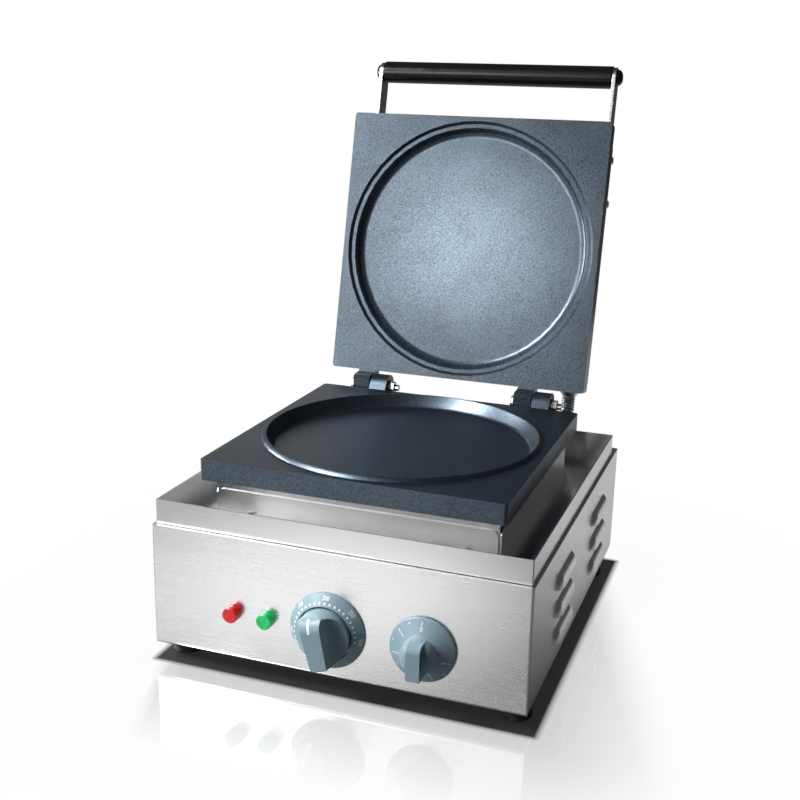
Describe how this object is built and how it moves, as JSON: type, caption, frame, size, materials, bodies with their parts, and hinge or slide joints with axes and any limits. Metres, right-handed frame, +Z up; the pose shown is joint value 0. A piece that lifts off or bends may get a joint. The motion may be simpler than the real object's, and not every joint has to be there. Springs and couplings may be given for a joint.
{
  "type": "round plate baker",
  "caption": "Countertop electric baker: louvred sheet case, round-lipped cast plate in a drip tray, and a hinged heated upper plate with a handle.",
  "frame": {"origin": "centre of the footprint, on the worktop", "axes": "+Z up, +X to the right and -Y out of the control panel, towards the user"},
  "size_m": [0.31, 0.4298, 0.4574],
  "materials": {
    "stainless": "brushed stainless sheet",
    "coated_casting": "satin non-stick coating over a casting",
    "zinc_steel": "zinc-plated",
    "heater_sheath": "oxidised sheath",
    "brass": "plain",
    "black_plastic": "glossy",
    "knob_plastic": "satin blue-grey moulding",
    "red_lens": "translucent red",
    "green_lens": "translucent green",
    "control_housing": "heat-resistant moulding",
    "rubber": "matt"
  },
  "bodies": {
    "base": {"case_shell": "stainless", "rear_panel": "stainless", "bottom_cover": "stainless", "drip_tray": "stainless", "heater_box": "stainless", "lower_plate": "coated_casting", "foot_front_left": "rubber", "foot_front_right": "rubber", "foot_rear_left": "rubber", "foot_rear_right": "rubber", "foot_screw_front_left": "zinc_steel", "foot_screw_front_right": "zinc_steel", "foot_screw_rear_left": "zinc_steel", "foot_screw_rear_right": "zinc_steel", "tray_screw_1": "zinc_steel", "tray_screw_2": "zinc_steel", "tray_screw_3": "zinc_steel", "tray_screw_4": "zinc_steel", "rear_screw_1": "zinc_steel", "rear_screw_2": "zinc_steel", "rear_screw_3": "zinc_steel", "rear_screw_4": "zinc_steel", "left_hinge_bolt": "zinc_steel", "left_hinge_nut": "zinc_steel", "right_hinge_bolt": "zinc_steel", "right_hinge_nut": "zinc_steel", "lower_heater_clamp": "zinc_steel", "lower_tie_bolt": "zinc_steel", "lower_clamp_nut": "zinc_steel", "conduit_case_gland": "zinc_steel", "conduit": "zinc_steel", "lower_heater": "heater_sheath", "thermostat_bulb": "brass", "power_cable_gland": "black_plastic", "thermostat_dial_ring": "knob_plastic", "red_pilot_lamp": "red_lens", "green_pilot_lamp": "green_lens", "thermostat_body": "control_housing", "timer_body": "control_housing", "terminal_block": "control_housing"},
    "lid": {"upper_plate": "coated_casting", "lid_cover": "stainless", "upper_heater": "heater_sheath", "upper_heater_clamp": "zinc_steel", "upper_clamp_bolt": "zinc_steel", "left_arm": "stainless", "right_arm": "stainless", "handle_grip": "black_plastic", "left_handle_screw": "black_plastic", "right_handle_screw": "black_plastic", "left_arm_screw_1": "zinc_steel", "left_arm_screw_2": "zinc_steel", "right_arm_screw_1": "zinc_steel", "right_arm_screw_2": "zinc_steel", "conduit_lid_gland": "zinc_steel"},
    "thermostat_dial": {"thermostat_knob": "knob_plastic", "thermostat_shaft": "zinc_steel"},
    "timer_dial": {"timer_knob": "knob_plastic", "timer_shaft": "zinc_steel"}
  },
  "joints": [
    {"name": "lid_hinge", "type": "hinge", "parent": "base", "child": "lid", "pos_m": [0, 0.09565, 0.161], "axis": [1, 0, 0], "range_deg": [0, 102.8], "deforming": ["conduit"]},
    {"name": "thermostat_turn", "type": "hinge", "parent": "base", "child": "thermostat_dial", "pos_m": [-0.003, -0.19685, 0.053], "axis": [0, 1, 0], "range_deg": [-146, 114]},
    {"name": "timer_turn", "type": "hinge", "parent": "base", "child": "timer_dial", "pos_m": [0.0715, -0.19685, 0.053], "axis": [0, 1, 0], "range_deg": [0, 254]}
  ]
}
